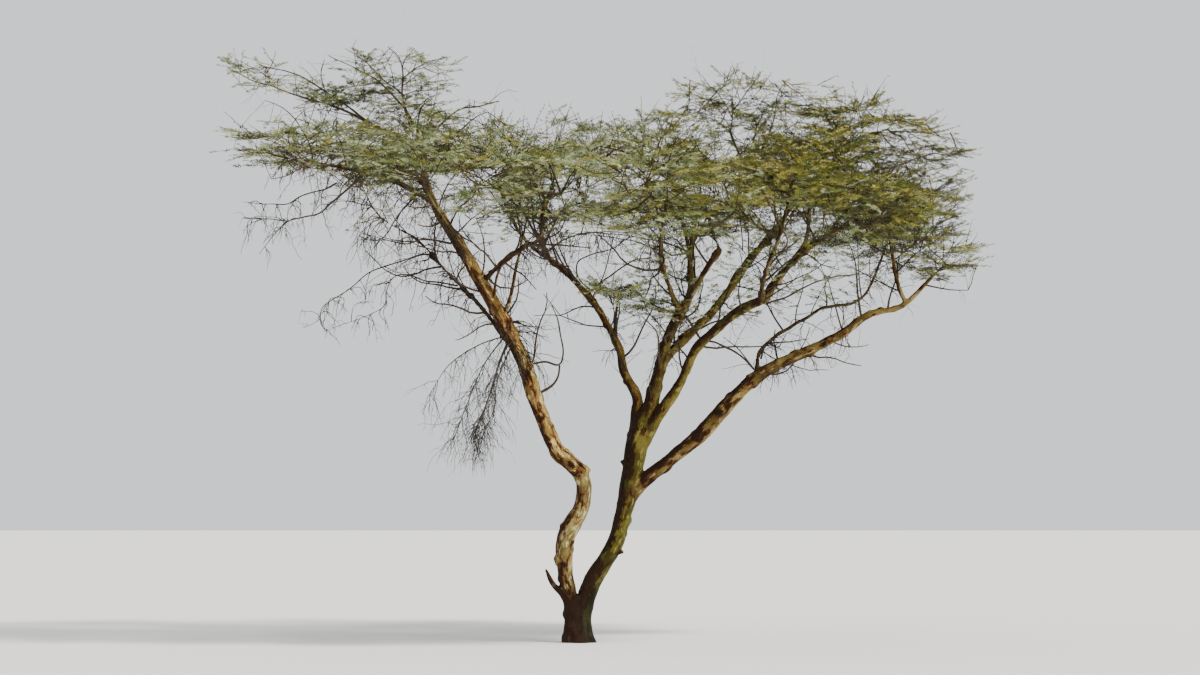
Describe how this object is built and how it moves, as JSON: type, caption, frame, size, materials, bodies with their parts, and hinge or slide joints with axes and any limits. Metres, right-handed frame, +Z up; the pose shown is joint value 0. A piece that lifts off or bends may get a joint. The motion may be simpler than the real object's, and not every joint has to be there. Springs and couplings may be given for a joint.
{
  "type": "acacia tree",
  "caption": "Wide flat-topped acacia tree with a low fork, two leaning stems, long rising boughs and flat layered masses of fine foliage.",
  "frame": {"origin": "middle of the trunk's flat cut at ground level", "axes": "+X to the right across the crown's widest side, +Y away from the viewer, +Z up"},
  "size_m": [15.8175, 12.4759, 12.1797],
  "materials": {
    "bark": "smooth greenish yellow bark with dark flakes, darker at the foot",
    "dead_twigs": "dry grey-brown dead twigs",
    "foliage": "dull olive green, fine feathery leaves"
  },
  "bodies": {
    "root": {"trunk": "bark", "left_stem": "bark", "left_bough": "bark", "left_upper_bough": "bark", "left_side_bough": "bark", "left_arch_bough": "bark", "left_back_bough": "bark", "left_front_bough": "bark", "right_stem": "bark", "inner_left_bough": "bark", "inner_left_upper_bough": "bark", "inner_back_bough": "bark", "middle_bough": "bark", "middle_back_bough": "bark", "far_back_bough": "bark", "middle_front_bough": "bark", "middle_short_bough": "bark", "right_inner_bough": "bark", "right_outer_bough": "bark", "right_outer_tip": "bark", "right_rising_bough": "bark", "right_front_bough": "bark", "lower_right_bough": "bark", "lower_right_middle_bough": "bark", "lower_right_tip": "bark", "right_lift_bough": "bark", "thin_right_bough": "bark", "trunk_stub": "bark", "dead_twig_tangle": "dead_twigs", "foliage_left_middle": "foliage", "foliage_left_low": "foliage", "foliage_left_high": "foliage", "foliage_left_top": "foliage", "foliage_left_back": "foliage", "foliage_left_front": "foliage", "foliage_inner_left": "foliage", "foliage_inner_left_back": "foliage", "foliage_inner_left_front": "foliage", "foliage_far_left_back": "foliage", "foliage_middle": "foliage", "foliage_middle_top": "foliage", "foliage_middle_back": "foliage", "foliage_middle_front": "foliage", "foliage_far_back": "foliage", "foliage_right_inner": "foliage", "foliage_right_high": "foliage", "foliage_right_low": "foliage", "foliage_right_top": "foliage", "foliage_right_front": "foliage", "foliage_right_back": "foliage", "foliage_outer_front": "foliage", "foliage_outer_back": "foliage", "foliage_right_tip": "foliage", "foliage_small_inner": "foliage"}
  },
  "joints": []
}
